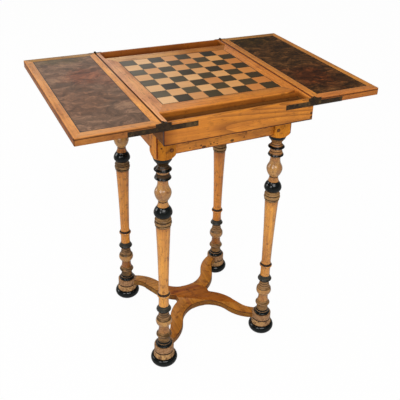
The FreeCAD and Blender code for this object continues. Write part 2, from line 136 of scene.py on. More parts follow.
def cutWith(piece, cutter, operation="DIFFERENCE", keep=False):
    useModifier(piece, "BOOLEAN", object=cutter, operation=operation, solver="EXACT")
    if not keep:
        bpy.data.objects.remove(cutter)


def placedCopy(piece, name, offset):
    copy = bpy.data.objects.new(name, piece.data.copy())
    copy.data.name = name
    bpy.context.scene.collection.objects.link(copy)
    workOn(copy)
    copy.location = offset
    bpy.ops.object.transform_apply(location=True, rotation=False, scale=False)
    return copy


def finishPiece(piece, material, body):
    smoothByAngle(piece)
    piece.data.materials.append(material)
    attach(piece, body)


# helpers for building materials out of nodes
def colour(red, green, blue):  # 0 to 255 as seen on screen
    def straight(value):
        value /= 255
        return value / 12.92 if value <= 0.04045 else ((value + 0.055) / 1.055) ** 2.4
    return (straight(red), straight(green), straight(blue), 1.0)


def addNode(tree, kind, sockets=None, **options):
    made = tree.nodes.new("ShaderNode" + kind)
    for key, value in options.items():
        setattr(made, key, value)
    for key, value in (sockets or {}).items():
        if isinstance(value, bpy.types.NodeSocket):
            tree.links.new(value, made.inputs[key])
        else:
            made.inputs[key].default_value = value
    return made


def startMaterial(name):
    material = bpy.data.materials.new(name)
    material.use_nodes = True
    material.node_tree.nodes.clear()
    return material, material.node_tree


def finishMaterial(tree, shade, roughness, normal, others):
    shader = addNode(tree, "BsdfPrincipled", {
        "Base Color": shade, "Roughness": roughness, "Normal": normal, **others})
    addNode(tree, "OutputMaterial", {"Surface": shader.outputs[0]})


def blend(tree, factor, first, second, mode="MIX"):
    return addNode(tree, "Mix", {0: factor, 6: first, 7: second}, data_type="RGBA",
                   blend_type=mode).outputs[2]


def tinted(tree, reach, shade, tint):  # the shade times the tint, where reach is 1
    return blend(tree, reach, shade, blend(tree, 1.0, shade, colour(*tint), "MULTIPLY"))


def calc(tree, operation, first, second=0.0, third=0.0):
    return addNode(tree, "Math", {0: first, 1: second, 2: third}, operation=operation).outputs[0]


def squareSum(tree, aside, along):  # the square of a distance from its two parts
    return calc(tree, "ADD", calc(tree, "MULTIPLY", aside, aside),
                calc(tree, "MULTIPLY", along, along))


def ramp(tree, factor, stops):
    made = addNode(tree, "ValToRGB", {"Fac": factor})
    elements = made.color_ramp.elements
    while len(elements) < len(stops):
        elements.new(0.5)
    for element, (place, shade) in zip(elements, stops):
        element.position = place
        element.color = shade
    return made.outputs["Color"]


def toneRamp(tree, factor, look, stops):  # stops give the place of each of the look's tones
    return ramp(tree, factor, [(place, colour(*look[tone])) for tone, place in stops.items()])


def noise(tree, vector, scale, detail=3.0, roughness=0.5, distortion=0.0):
    return addNode(tree, "TexNoise", {
        "Vector": vector, "Scale": scale, "Detail": detail, "Roughness": roughness,
        "Distortion": distortion}).outputs["Fac"]


def spread(tree, value, low, high, newLow, newHigh):
    return addNode(tree, "MapRange", {0: value, 1: low, 2: high, 3: newLow, 4: newHigh}).outputs[0]


def overlay(tree, shade, value, limits, amount, tone):  # the tone comes on within the limits
    return blend(tree, spread(tree, value, *limits, 0.0, amount), shade, colour(*tone))


def mapped(tree, vector, scale=(1, 1, 1), turn=(0, 0, 0), shift=(0, 0, 0)):
    return addNode(tree, "Mapping", {"Vector": vector, "Location": shift, "Rotation": turn,
                                     "Scale": scale}).outputs[0]


def bumpFrom(tree, height, strength, depth=0.2):  # depth in millimetres
    return addNode(tree, "Bump", {"Strength": strength, "Distance": depth * mm,
                                  "Height": height}).outputs[0]


# wood
grainTurn = {"X": (0, 0, 0), "Y": (0, 0, -math.pi / 2), "Z": (0, math.pi / 2, 0)}
grainScale = {"fibre": (14, 420, 420), "streak": (4.5, 95, 95), "flush": (3.0, 60, 60),
              "pores": (70, 520, 520)}  # along the grain and across it
flushShift = (0.7, 0.2, 0.4)
wavePeriod = 314  # millimetres from wave to wave in a wave texture of scale 1
woodStops = {"dark": 0.34, "middle": 0.47, "light": 0.56, "pale": 0.66}
onset = {"rings": (0.0, 0.6), "flush": (0.56, 0.70), "pores": (0.60, 0.70), "pits": (0.07, 0.03),
         "marks": (1.3, 0.7), "padRim": (27.6, 26.4)}  # where each starts and where it is full
padStops = [(0.38, colour(120, 84, 54)), (0.50, colour(152, 112, 75)),
            (0.62, colour(180, 138, 99))]


def grainValues(tree, look):
    place = addNode(tree, "TexCoord").outputs["Object"]
    turned = mapped(tree, place, turn=grainTurn[look["grain"]])
    fibre = noise(tree, mapped(tree, turned, grainScale["fibre"]), 1.0, 3.0, 0.6)
    streak = noise(tree, mapped(tree, turned, grainScale["streak"]), 1.0, 3.0, 0.55, 0.4)
    return place, turned, fibre, streak


def growthLines(tree, turned, x, look):  # thin dark lines where the saw met the year rings
    heart = mapped(tree, turned, (look["ringStretch"], 1, 1), look["lean"], look["heart"])
    rings = addNode(tree, "TexWave", {
        "Vector": heart, "Scale": wavePeriod / look["ringGap"], "Distortion": look["ringWander"],
        "Detail": 3.0, "Detail Scale": 0.55, "Detail Roughness": 0.6},
        wave_type="RINGS", rings_direction="X", wave_profile="SAW").outputs["Fac"]
    lines = spread(tree, rings, *onset["rings"], 1.0, 0.0)
    if look.get("ringsFrom"):  # the figure only shows east of here
        start, full = look["ringsFrom"]
        lines = calc(tree, "MULTIPLY", lines, spread(tree, x, start * mm, full * mm, 0.12, 1.0))
    return lines


def agedAllOver(tree, shade, place, turned, look):
    if look.get("flush"):  # redder streaks along the grain
        flush = noise(tree, mapped(tree, turned, grainScale["flush"], shift=flushShift), 1.0, 2.0)
        shade = overlay(tree, shade, flush, onset["flush"], look["flush"], look["flushColour"])
    spots = noise(tree, place, look["stainScale"], 5.0, 0.65)  # old spots and scratches
    start = look["stainFrom"]
    shade = overlay(tree, shade, spots, (start, start + 0.1), look["stain"], look["stainColour"])
    pores = noise(tree, mapped(tree, turned, grainScale["pores"]), 1.0, 2.0)  # short dark dashes
    shade = overlay(tree, shade, pores, onset["pores"], look["pores"], look["grimeColour"])
    if look.get("pits"):  # worm holes and dents
        cells = addNode(tree, "TexVoronoi", {"Vector": place, "Scale": look["pits"],
                                             "Randomness": 1.0}, feature="F1").outputs["Distance"]
        shade = overlay(tree, shade, cells, onset["pits"], 0.8, look["grimeColour"])
    return shade


def agedInPlaces(tree, shade, place, parts, look):
    for limits, tint, reach in look.get("shades", []):  # tints on faces and edges: wear and dirt, and painted shade, painted shadow and painted sheen
        for axis, start, full in limits:
            reach = calc(tree, "MULTIPLY", reach,
                         spread(tree, parts[axis], start * mm, full * mm, 0.0, 1.0))
        shade = tinted(tree, reach, shade, tint)
    if look.get("pad"):  # the round ends under the legs are as pale as the feet
        aside, along = (calc(tree, "SUBTRACT", parts[side], look["pad"] * mm)
                        for side in ("wide", "deep"))
        rim, body = onset["padRim"]
        near = spread(tree, calc(tree, "SQRT", squareSum(tree, aside, along)), rim * mm, body * mm,
                      0.0, 1.0)
        shade = blend(tree, near, shade, ramp(tree, noise(tree, place, 230.0, 5.0, 0.7), padStops))
    for x, z, wide, tall in look.get("marks", []):  # nail heads and chips seen on a front face
        across = calc(tree, "DIVIDE", calc(tree, "SUBTRACT", parts["x"], x * mm), wide * mm)
        up = calc(tree, "DIVIDE", calc(tree, "SUBTRACT", parts["z"], z * mm), tall * mm)
        shade = overlay(tree, shade, squareSum(tree, across, up), onset["marks"], 0.85,
                        look["grimeColour"])
    return shade


def woodMaterial(name, look):
    material, tree = startMaterial(name)
    place, turned, fibre, streak = grainValues(tree, look)
    broad = noise(tree, turned, look["broadScale"], 3.0, 0.55, 0.3)
    split = addNode(tree, "SeparateXYZ", {0: place}).outputs
    parts = {"x": split[0], "y": split[1], "z": split[2]}  # wide and deep are x and y unsigned
    parts["wide"], parts["deep"] = (calc(tree, "ABSOLUTE", split[i]) for i in (0, 1))
    lines = growthLines(tree, turned, parts["x"], look)
    tone = calc(tree, "MULTIPLY", fibre, look["fibreShow"])
    tone = calc(tree, "MULTIPLY_ADD", streak, look["streakShow"], tone)
    tone = calc(tree, "MULTIPLY_ADD", broad, look["broadShow"], tone)
    tone = calc(tree, "DIVIDE", tone, look["fibreShow"] + look["streakShow"] + look["broadShow"])
    shade = toneRamp(tree, tone, look, woodStops)
    shade = blend(tree, calc(tree, "MULTIPLY", lines, look["ringShow"]), shade,
                  colour(*look["stainColour"]))
    shade = agedAllOver(tree, shade, place, turned, look)
    shade = agedInPlaces(tree, shade, place, parts, look)
    # ambient occlusion darkens the crevices: painted shade in grooves and where parts meet, and the
    # grime that gathers there
    grime = addNode(tree, "AmbientOcclusion", {"Distance": look["grimeReach"] * mm}, samples=6,
                    only_local=True).outputs["AO"]
    shade = overlay(tree, shade, grime, (0.95, look["grimeFrom"]), look["grime"],
                    look["grimeColour"])
    roughness = spread(tree, streak, 0.3, 0.7, look["gloss"] + 0.07, look["gloss"] - 0.07)
    height = calc(tree, "MULTIPLY_ADD", fibre, 0.7, calc(tree, "MULTIPLY", lines, -0.3))
    finishMaterial(tree, shade, roughness, bumpFrom(tree, height, look["bump"], 0.25), {
        "Coat Weight": look["coat"], "Coat Roughness": look["coatBlur"],
        "Specular IOR Level": look["shine"]})
    return material


baseWood = {
    "grain": "X", "heart": (0, 0.05, 0.03), "lean": (0, 0.02, 0.015),
    "ringGap": 9.0, "ringWander": 6.0, "ringStretch": 0.12, "ringShow": 0.14,
    "fibreShow": 0.30, "streakShow": 0.45, "broadShow": 0.55, "broadScale": 17.0, "pores": 0.45,
    "stain": 0.4, "stainScale": 60.0, "stainFrom": 0.58, "stainColour": (104, 58, 24),
    # the grime amount, reach, onset and colour also set the painted shade in crevices
    "grime": 0.8, "grimeReach": 5, "grimeFrom": 0.35, "grimeColour": (48, 28, 14),
    "flushColour": (150, 74, 34), "gloss": 0.40, "coat": 0.0, "coatBlur": 0.17, "shine": 0.28,
    "bump": 0.18}


def tones(red, green, blue, depth=0.15):  # four steps of one wood colour
    def step(share):
        return tuple(min(255, value * share)
                     for value in (red, green * (1 + (share - 1) * 0.3), blue))
    return {"dark": step(1 - depth), "middle": step(1.0), "light": step(1 + 0.5 * depth),
            "pale": step(1 + depth)}


def wood(name, tone, **changes):
    return woodMaterial(name, {**baseWood, **tones(*tone), **changes})


# a tint within limits, each an axis with the places in mm where it starts and where it is full
def toned(tint, *limits, amount=1.0):
    return limits, tint, amount


frontFace = toned((194, 186, 166), ("deep", 232.3, 232.9))
# painted shade on the leaves' outer end faces
leafEndShade = toned((170, 150, 120), ("wide", 351.9, 352.8))
leafCorner = toned((104, 78, 58), ("wide", 351.0, 352.0), ("deep", 231.0, 232.0))
# a dark band along the scratched line below the top edge: painted shade of its groove
scratchShadeBand = (("z", 715.0, 715.9), ("z", 717.9, 717.0))
scratchShadeFront = toned((120, 90, 66), ("deep", 232.0, 232.5), *scratchShadeBand, amount=0.9)
scratchShadeEnd = toned((130, 104, 84), ("wide", 352.0, 352.5), *scratchShadeBand, amount=0.9)
# the margins' rounded front edges darker below their tops: painted shade
nosingShade = toned((205, 199, 204), ("z", 719.6, 715.0))

railWood = wood(
    "honeyRail", (190, 116, 40), heart=(0, 0.2039, -0.6366), lean=(0, -0.37, 0.0826), ringGap=5.0,
    ringShow=0.65, ringWander=0.5, ringStretch=0.4, ringsFrom=(-75.0, -30.0), stainScale=34.0,
    grime=0.6, streakShow=0.7, marks=[(170.4, 686.5, 3.2, 3.4), (171.4, 677.0, 3.2, 3.4)],
    # the inner face darker: painted shade inside the front well
    shades=[toned((170, 150, 130), ("deep", 226.2, 225.3)),
            toned((160, 140, 112), ("x", -146.0, -178.0)),
            # a dark line along the rail's lower edge: painted shadow where the box overhangs the
            # apron
            toned((96, 62, 36), ("z", 673.4, 671.4)),
            toned((150, 110, 70), ("wide", 174.6, 175.7)),
            toned((120, 90, 60), ("z", 718.8, 719.6), ("deep", 232.0, 232.7), amount=0.8)])
backRailWood = wood(
    "honeyBackRail", (184, 112, 44), heart=(0.1, 0.02, -0.61), grime=0.6,
    # the inner face darker, more so towards the bottom: painted shade inside the back well
    shades=[toned((200, 178, 140), ("deep", 226.2, 225.3)),
            toned((170, 150, 150), ("deep", 226.2, 225.3), ("z", 716.0, 698.0))])
# dark all over: a stain, and painted shade from the leaves above
sideRailWood = wood("darkSideRail", (114, 73, 36), grain="Y", heart=(0, 0.21, -0.62), shine=0.06)
apronWood = wood(
    "apronHoney", (208, 130, 46), heart=(0.02, 0.19, -0.60), stain=0.8, stainScale=42.0, pits=34.0,
    shades=[toned((150, 120, 90), ("z", 611.5, 609.5), amount=0.9)],
    marks=[(-54, 612.6, 5.4, 2.8), (15.6, 615.2, 4.6, 3.4), (-38, 617, 2.2, 2.0),
           (-30, 619, 1.8, 1.8), (-61, 617.5, 2.0, 1.8), (-22, 614, 1.8, 1.6),
           (46, 618, 2.0, 1.6), (-88, 616, 1.6, 1.6)])
apronSideWood = wood("apronSideHoney", (180, 110, 48), grain="Y", heart=(0.02, 0.19, -0.60),
                     stain=0.7, stainScale=42.0, pits=30.0)
blockWood = wood(
    "blockHoney", (210, 130, 34), grain="Z", heart=(0, 0.02, 0.06), flush=0.25, stain=0.6,
    stainFrom=0.54, shine=0.12,
    shades=[toned((150, 92, 64), ("wide", 164.2, 165.4), ("deep", 164.2, 165.4)),
            # the left blocks' front faces darker: painted shadow of the box above
            toned((232, 232, 226), ("x", -120.0, -124.0), ("deep", 166.4, 167.0))],
    marks=[(x, z, 4.7, 4.7) for x in (-132.7, 132.7) for z in (622.0, 657.0)]  # round the pegs
    + [(-156.4, 630.8, 2.2, 2.2)])

turnedLook = {
    "grain": "Z", "heart": (0, 0.03, 0.05), "ringShow": 0.2, "pores": 0.5, "flush": 0.3,
    "stain": 0.6, "stainScale": 75.0, "stainFrom": 0.56, "grime": 1.0, "grimeReach": 8,
    "grimeFrom": 0.5, "gloss": 0.24, "coat": 0.8, "shine": 0.5}
backLegs = ("y", 100.0, 120.0)
turnedWood = wood("turnedHoney", (206, 138, 58), **turnedLook, shades=[
    toned((214, 196, 176), ("z", 398.0, 430.0), ("z", 480.0, 460.0)),
    toned((252, 242, 222), backLegs),
    toned((252, 240, 224), backLegs, ("x", 100.0, 120.0))])
vaseWood = wood("turnedVase", (178, 128, 68), **{**turnedLook, "coat": 1.0, "coatBlur": 0.3})
tannedWood = wood("turnedTan", (178, 122, 62), **turnedLook, shades=[
    toned((222, 200, 146), backLegs),
    toned((226, 220, 214), ("z", 150.0, 140.0), ("x", -100.0, -120.0))])
footWood = wood("footPale", (178, 135, 89), grain="Z", stain=0.8, stainScale=150.0,
                stainFrom=0.49, stainColour=(92, 58, 32), pits=70.0, gloss=0.36)

stretcherLook = {"ringShow": 0.3, "flush": 0.5, "stain": 0.6, "stainFrom": 0.54,
                 "stainColour": (84, 42, 14), "gloss": 0.36, "pad": 145.2}
# painted shade: a dark line along the arms' rounded top edges, and darker sides
stretcherEdgeShades = [toned((130, 108, 80), ("z", 58.0, 57.4), ("z", 55.4, 56.4)),
                   toned((198, 202, 172), ("z", 57.0, 56.0))]
stretcherWood = wood("stretcherChestnut", (176, 110, 36), grain="Y", heart=(0, 0.03, 0.10),
                     shades=stretcherEdgeShades, **stretcherLook)
stretcherCrossWood = wood(
    "stretcherChestnutCross", (182, 122, 56), grain="X", heart=(0, 0.06, 0.09),
    shades=stretcherEdgeShades + [toned((219, 184, 106), ("x", -78.0, -48.0))], **stretcherLook)

leafLong = {"grain": "Y", "heart": (0, 0.4, -0.6)}
leafShort = {"grain": "X", "heart": (0, 0.3, -0.62)}
endShades = [leafEndShade, scratchShadeEnd, leafCorner]
frontShades = [leafEndShade, frontFace, scratchShadeFront, leafCorner]
leafWoods = {  # by leaf, first the members whose grain runs from front to back
    "left": (wood("leftLeafLong", (226, 150, 78), **leafLong,
                  # the inner edge by the fold darker: painted shade in the gap
                  shades=endShades + [toned((112, 94, 80), ("wide", 181.0, 179.6))]),
             wood("leftLeafShort", (213, 139, 71), **leafShort,
                  shades=frontShades + [toned((202, 228, 255), ("y", 190.0, 220.0))])),
    "right": (wood("rightLeafLong", (206, 128, 54), **leafLong,
                   shades=endShades + [toned((230, 238, 255), ("x", 328.0, 334.0))]),
              wood("rightLeafShort", (212, 130, 60), **leafShort,
                   shades=frontShades + [toned((198, 226, 255), ("y", 190.0, 220.0))]))}

marginHeart = (0, 0.24, -0.66)
# the left margin is paler than the right, and the back one pales towards the west: painted sheen
marginWoods = {
    "front": wood("marginFront", (206, 125, 44), heart=marginHeart, flush=0.3, shades=[nosingShade]),
    "back": wood("marginBack", (212, 166, 122), heart=marginHeart, flush=0.3,
                 shades=[nosingShade, toned((214, 172, 110), ("x", -120.0, 60.0))]),
    "left": wood("marginLeft", (228, 160, 112), grain="Y", heart=marginHeart, flush=0.4,
                 # the outer edge by the fold darker: painted shade in the gap
                 shades=[nosingShade, toned((138, 114, 100), ("wide", 175.2, 176.0))]),
    "right": wood("marginRight", (200, 119, 46), grain="Y", heart=marginHeart, flush=0.5,
                  # darker near the fold: painted shade in the gap
                  shades=[nosingShade, toned((142, 102, 78), ("wide", 170.0, 173.0))])}
wellWood = wood("wellBrown", (138, 86, 38), heart=(0, 0.2, -0.6), stain=0.6, stainScale=30.0,
                stainColour=(84, 46, 18), gloss=0.5,
                # darker towards the bottom: painted shade inside the wells
                shades=[toned((164, 146, 120), ("z", 708.0, 690.0))])
carcaseWood = wood("carcaseBrown", (128, 84, 44), grain="Y", heart=(0, 0.1, -0.6), gloss=0.62)
pegWood = wood("pegBrown", (124, 70, 30), grain="Y", heart=(0.01, 0, 0), ringGap=1.2, gloss=0.5)


# blackened and darkened wood, rubbed through in places and scored with fine lines
def ebonyMaterial(name, black, rubbed, look):
    material, tree = startMaterial(name)
    place = addNode(tree, "TexCoord").outputs["Object"]
    cloud = noise(tree, mapped(tree, place, (1, 1, 3)), look["wearScale"], 4.0, 0.6)
    if look["wearEast"]:  # the legs on the right are rubbed more than those on the left
        east = addNode(tree, "SeparateXYZ", {0: place}).outputs[0]
        cloud = calc(tree, "MULTIPLY_ADD", east, look["wearEast"], cloud)
    worn = spread(tree, cloud, look["wearFrom"], look["wearFrom"] + 0.14, look["wearLeast"],
                  look["wear"])
    shade = blend(tree, worn, colour(*black), colour(*rubbed))
    lines = addNode(tree, "TexWave", {
        "Vector": place, "Scale": look["lineScale"], "Distortion": 1.0},
        wave_type="BANDS", bands_direction="Z").outputs["Fac"]
    shade = overlay(tree, shade, lines, (0.55, 0.95), look["lineShow"], black)
    roughness = spread(tree, cloud, 0.35, 0.7, look["gloss"], look["gloss"] + 0.16)
    finishMaterial(tree, shade, roughness, bumpFrom(tree, lines, 0.12),
                   {"Specular IOR Level": look["shine"]})
    return material


baseEbony = {"wear": 1.0, "wearScale": 60.0, "wearFrom": 0.5, "wearLeast": 0.0, "wearEast": 0.0,
             "lineShow": 0.0, "lineScale": 120.0, "gloss": 0.34, "shine": 0.3}


def ebony(name, black, rubbed, **changes):
    return ebonyMaterial(name, black, rubbed, {**baseEbony, **changes})


ebonised = ebony("ebonised", (7, 13, 14), (50, 39, 26), wear=0.5, wearScale=70.0, wearFrom=0.64,
                 gloss=0.12, shine=0.42)
wornBlack = ebony("wornBlack", (34, 25, 13), (158, 108, 58), wearFrom=0.46, wearLeast=0.10,
                  wearEast=1.0, lineShow=0.8, lineScale=52.0)
dustyBlack = ebony("dustyBlack", (44, 44, 38), (84, 72, 54), wear=0.7, wearScale=80.0, shine=0.4)
linedWood = ebony("linedWood", (56, 39, 22), (150, 112, 72), wearFrom=0.36, wearLeast=0.4,
                  wearEast=0.6, lineShow=0.9, lineScale=50.0, gloss=0.36, shine=0.35)
collarWood = ebony("collarWood", (70, 49, 26), (152, 114, 68), wearFrom=0.38, wearLeast=0.3,
                   wearEast=0.5, gloss=0.32, shine=0.4)
oliveWood = ebony("oliveWood", (80, 57, 27), (149, 109, 63), wear=0.9, wearFrom=0.40,
                  wearEast=0.3, lineShow=0.6, lineScale=60.0, gloss=0.30, shine=0.4)
darkGroove = ebony("darkGroove", (44, 29, 15), (92, 62, 32), wear=0.6, wearScale=120.0, gloss=0.45)
inkedGroove = ebony("inkedGroove", (26, 18, 11), (72, 50, 28), wear=0.5, wearScale=90.0, gloss=0.4)
stringing = ebony("blackStringing", (34, 26, 20), (78, 54, 36), wear=0.5, wearFrom=0.55,
                  gloss=0.35)


# burr veneer
burrStops = {"deep": 0.38, "brown": 0.47, "mid": 0.53, "bright": 0.62}


def burrMaterial(name, look):
    material, tree = startMaterial(name)
    place = addNode(tree, "TexCoord").outputs["Object"]
    wander = addNode(tree, "TexNoise", {"Vector": place, "Scale": 15.0, "Detail": 4.0,
                                        "Roughness": 0.6}).outputs["Color"]
    pushed = addNode(tree, "VectorMath", {0: wander, 1: (0.07, 0.07, 0.0), 2: place},
                     operation="MULTIPLY_ADD").outputs[0]
    leaning = mapped(tree, pushed, (1.0, 1.7, 1.0), (0, 0, look["lean"]))
    swirl = noise(tree, leaning, 26.0, 7.0, 0.64, 0.8)
    fine = noise(tree, pushed, 130.0, 5.0, 0.7, 0.4)
    tone = calc(tree, "MULTIPLY_ADD", fine, 0.34, calc(tree, "MULTIPLY", swirl, 0.66))
    shade = toneRamp(tree, tone, look, burrStops)
    cloud = noise(tree, place, 16.0, 3.0, 0.6)
    for x, y, full, amount, tint in look["patches"]:  # broad areas of another hue
        away = addNode(tree, "VectorMath", {0: place, 1: point(x, y, look["height"])},
                       operation="DISTANCE").outputs["Value"]
        near = spread(tree, calc(tree, "MULTIPLY_ADD", cloud, 0.16, away),
                      (full + look["patchEdge"]) * mm, full * mm, 0.0, amount)
        shade = tinted(tree, near, shade, tint)
    glints = noise(tree, leaning, 60.0, 3.0, 0.6, 1.5)
    shade = overlay(tree, shade, glints, (0.60, 0.70), look["glint"], look["bright"])
    roughness = spread(tree, fine, 0.3, 0.7, look["gloss"] - 0.04, look["gloss"] + 0.08)
    finishMaterial(tree, shade, roughness, bumpFrom(tree, swirl, 0.10),
                   {"Specular IOR Level": look["shine"]})
    return material


baseBurr = {"gloss": 0.40, "shine": 0.14, "height": 720, "patchEdge": 60}
# the left panel is lighter and greyer than the right: partly its own colour, partly painted sheen
leftBurr = burrMaterial("burrLeft", {
    **baseBurr, "lean": 0.5, "glint": 0.3,
    "deep": (80, 58, 43), "brown": (110, 82, 62), "mid": (131, 98, 76), "bright": (164, 126, 97),
    "patches": [(-285, 240, 110, 1.0, (216, 236, 200)), (-228, 80, 105, 1.0, (255, 208, 188)),
                (-290, -60, 120, 0.7, (236, 214, 196))]})
rightBurr = burrMaterial("burrRight", {
    **baseBurr, "lean": -0.7, "glint": 0.35,
    "deep": (36, 21, 8), "brown": (62, 39, 17), "mid": (84, 53, 24), "bright": (128, 84, 44),
    "patches": [(250, 210, 120, 1.0, (220, 240, 200)), (262, -110, 110, 1.0, (255, 206, 176))]})


# the squares of the chess board
squareStops = {"dark": 0.0, "middle": 0.4, "light": 0.75, "pale": 1.0}
grainStops = [(0.35, (0.25, 0.25, 0.25, 1.0)), (0.65, (1.0, 1.0, 1.0, 1.0))]


def squareMaterial(name, look):  # each square of veneer has its own tone
    material, tree = startMaterial(name)
    place, turned, fibre, streak = grainValues(tree, look)
    scaled = addNode(tree, "VectorMath", {0: place, "Scale": 1 / (look["side"] * mm)},
                     operation="SCALE").outputs[0]
    cell = addNode(tree, "VectorMath", {0: scaled}, operation="FLOOR").outputs[0]
    own = addNode(tree, "TexWhiteNoise", {"Vector": cell}, noise_dimensions="3D").outputs["Value"]
    shade = toneRamp(tree, own, look, squareStops)
    grain = calc(tree, "DIVIDE", calc(tree, "ADD", fibre, streak), 2.0)
    shade = blend(tree, look["grainShow"], shade, ramp(tree, grain, grainStops), "MULTIPLY")
    spots = noise(tree, place, 90.0, 4.0, 0.65)
    shade = overlay(tree, shade, spots, (0.60, 0.75), 0.4, look["stainColour"])
    # paler to the west, deeper to the east: painted sheen that fades eastwards
    x = addNode(tree, "SeparateXYZ", {0: place}).outputs[0]
    start, full = look["sheenFadeFrom"]
    shade = tinted(tree, spread(tree, x, start * mm, full * mm, 0.0, 1.0), shade, look["sheenFadeTint"])
    roughness = spread(tree, fibre, 0.3, 0.7, look["gloss"] + 0.05, look["gloss"] - 0.04)
    finishMaterial(tree, shade, roughness, bumpFrom(tree, fibre, 0.2),
                   {"Specular IOR Level": 0.45})
    return material


baseSquare = {"grain": "X", "side": 35.6, "gloss": 0.38, "sheenFadeFrom": (-60, 140)}
darkSquare = squareMaterial("darkSquares", {
    **baseSquare, "dark": (54, 42, 17), "middle": (74, 61, 31), "light": (82, 69, 38),
    "pale": (94, 80, 50), "grainShow": 0.30, "stainColour": (36, 24, 12),
    "sheenFadeTint": (236, 212, 170)})
lightSquare = squareMaterial("lightSquares", {
    **baseSquare, "dark": (220, 150, 86), "middle": (230, 169, 107), "light": (237, 182, 122),
    "pale": (244, 193, 137), "grainShow": 0.16, "stainColour": (190, 118, 56),
    "sheenFadeTint": (248, 220, 162)})


# metal
def metalMaterial(name, dark, plain, bright, gloss, metallic):
    material, tree = startMaterial(name)
    place = addNode(tree, "TexCoord").outputs["Object"]
    cloud = noise(tree, place, 120.0, 5.0, 0.65)
    rubbed = noise(tree, place, 45.0, 3.0, 0.5)
    shade = blend(tree, spread(tree, cloud, 0.4, 0.62, 0.0, 1.0), colour(*dark), colour(*plain))
    shade = overlay(tree, shade, rubbed, (0.55, 0.75), 0.8, bright)
    roughness = spread(tree, cloud, 0.3, 0.7, gloss + 0.12, gloss - 0.06)
    finishMaterial(tree, shade, roughness, bumpFrom(tree, cloud, 0.35, 0.25),
                   {"Metallic": metallic})
    return material


agedBrass = metalMaterial("agedBrass", (38, 23, 8), (62, 42, 16), (110, 84, 44), 0.46, 0.3)
screwBrass = metalMaterial("screwBrass", (60, 43, 20), (90, 68, 36), (150, 124, 76), 0.40, 0.5)
rubbedBrass = metalMaterial("rubbedBrass", (78, 64, 36), (120, 102, 62), (190, 172, 126), 0.28, 0.9)
oldSteel = metalMaterial("oldSteel", (52, 48, 42), (88, 82, 74), (140, 134, 124), 0.38, 0.9)
print("materials made:", len(bpy.data.materials))


# turned work: a profile is drawn from the top down, then spun round the axis
finishes = {
    "pale": turnedWood, "vase": vaseWood, "tan": tannedWood, "foot": footWood,
    "black": ebonised, "worn": wornBlack, "dusty": dustyBlack, "lined": linedWood,
    "olive": oliveWood, "collar": collarWood, "brown": darkGroove, "groove": inkedGroove}
lathe = {"facetHeight": 0.9, "fewest": 4, "most": 18, "beadFullness": 0.6, "shoulder": 0.01,
         "weld": 0.004, "smoothAngle": 42}


def profileOf(turning):  # (height, radius) points and the finish of each stretch
    z = turning["top"]
    spare = z - turning["bottom"] - sum(step[1] or 0 for step in turning["steps"])
    points = [(z, 0.0)]
    stretches = []
    for shape, height, first, belly, last, finish in turning["steps"]:
        height = height or spare  # the shaft takes what the other elements leave
        facets = max(lathe["fewest"], min(lathe["most"], round(height / lathe["facetHeight"])))
        count = 1 if shape == "line" else facets
        if abs(points[-1][1] - first) > lathe["shoulder"]:
            points.append((z, first))
        for i in range(1, count + 1):
            t = i / count
            if shape == "bead":  # a bead stands off its neighbours
                t = (1 - math.cos(math.pi * t)) / 2
                swell = math.sin(math.pi * t) ** lathe["beadFullness"]
                radius = first + (last - first) * t + (belly - (first + last) / 2) * swell
            else:  # a curve through the three radii
                radius = (first * (1 - t) * (1 - 2 * t) + 4 * belly * t * (1 - t)
                          + last * t * (2 * t - 1))
            points.append((z - height * t, radius))
        stretches.append((z, z - height, finish))
        z -= height
    points.append((z, 0.0))
    return points, stretches


def turnPiece(name, turning, x, y):
    points, stretches = profileOf(turning)
    clearSelection()
    bpy.ops.mesh.primitive_plane_add(size=mm, location=point(x, y, points[0][0]))
    piece = bpy.context.object
    piece.name = piece.data.name = name
    bpy.ops.object.transform_apply(location=True, rotation=True, scale=True)
    editMode(piece)
    bpy.ops.mesh.select_all(action="SELECT")
    bpy.ops.mesh.merge(type="CENTER")
    for (z0, r0), (z1, r1) in zip(points, points[1:]):
        step = point(r1 - r0, 0, z1 - z0)
        bpy.ops.mesh.extrude_region_move(TRANSFORM_OT_translate={"value": step})
    bpy.ops.mesh.select_all(action="SELECT")
    bpy.ops.mesh.spin(steps=turning["facets"], angle=2 * math.pi, center=point(x, y, 0),
                      axis=(0, 0, 1))
    bpy.ops.mesh.select_all(action="SELECT")
    bpy.ops.mesh.remove_doubles(threshold=lathe["weld"] * mm)
    bpy.ops.mesh.normals_make_consistent(inside=False)
    used = []
    for step in turning["steps"]:
        if step[5] not in used:
            used.append(step[5])
            piece.data.materials.append(finishes[step[5]])
    bpy.ops.mesh.select_mode(type="FACE")
    nudge = lathe["shoulder"]  # a flat shoulder takes the finish of what is below it
    for top, bottom, finish in stretches:
        pick(piece, "faces", lambda face: bottom + nudge < middle(face).z / mm < top + nudge)
        piece.active_material_index = used.index(finish)
        bpy.ops.object.material_slot_assign()
    smoothByAngle(piece, lathe["smoothAngle"])
    return piece


